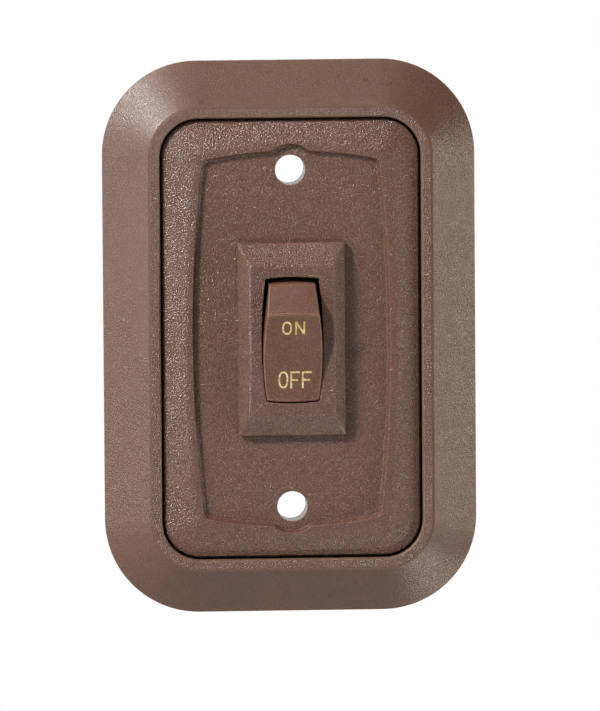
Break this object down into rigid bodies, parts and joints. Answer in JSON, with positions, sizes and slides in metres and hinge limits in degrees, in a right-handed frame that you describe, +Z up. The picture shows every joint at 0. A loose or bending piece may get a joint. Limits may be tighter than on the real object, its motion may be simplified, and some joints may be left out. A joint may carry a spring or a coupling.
{
  "type": "rocker light switch",
  "caption": "Surface rocker switch on a contoured wall plate with two screw holes, framed by a wide sloping trim bezel.",
  "frame": {"origin": "on the wall face, midway between the two screw holes", "axes": "+Z up the wall, +X to the right as seen from the room, -Y out of the wall into the room"},
  "size_m": [0.079, 0.0377, 0.1174],
  "materials": {
    "bezel_plastic": "satin moulded brown plastic",
    "plate_plastic": "coarse sand-grained brown plastic",
    "rocker_plastic": "smooth satin brown plastic",
    "nylon": "natural nylon",
    "spring_steel": "drawn wire",
    "copper": "rolled copper strip",
    "silver": "dull silver face",
    "brass": "rolled brass",
    "phenolic": "dark brown phenolic moulding",
    "screw_steel": "zinc-plated"
  },
  "bodies": {
    "mount": {"bezel": "bezel_plastic", "wall_plate": "plate_plastic", "contact_cradle": "brass", "common_blade": "brass", "common_rivet": "brass", "load_blade": "brass", "load_contact": "silver", "switch_case": "phenolic", "terminal_base": "phenolic", "case_screw_upper": "screw_steel", "case_screw_lower": "screw_steel"},
    "rocker": {"rocker": "rocker_plastic", "plunger_spring": "spring_steel"},
    "plunger": {"plunger": "nylon"},
    "contact": {"contact_rocker": "copper", "moving_contact": "silver"}
  },
  "joints": [
    {"name": "rocker_tilt", "type": "hinge", "parent": "mount", "child": "rocker", "pos_m": [0, 0.0009, 0], "axis": [-1, 0, 0], "range_deg": [0, 27]},
    {"name": "contact_rock", "type": "hinge", "parent": "mount", "child": "contact", "pos_m": [0, 0.00804, 0], "axis": [1, 0, 0], "range_deg": [0, 18]},
    {"name": "plunger_slide", "type": "slide", "parent": "rocker", "child": "plunger", "axis": [0, -0.9724, -0.2334], "range_m": [0, 0.0006], "stiffness_N_per_m": 400, "springref_m": -0.001, "deforming": ["plunger_spring"]}
  ],
  "couplings": [
    {"joint": "contact_rock", "follows": "rocker_tilt", "ratio": 0.66667}
  ]
}
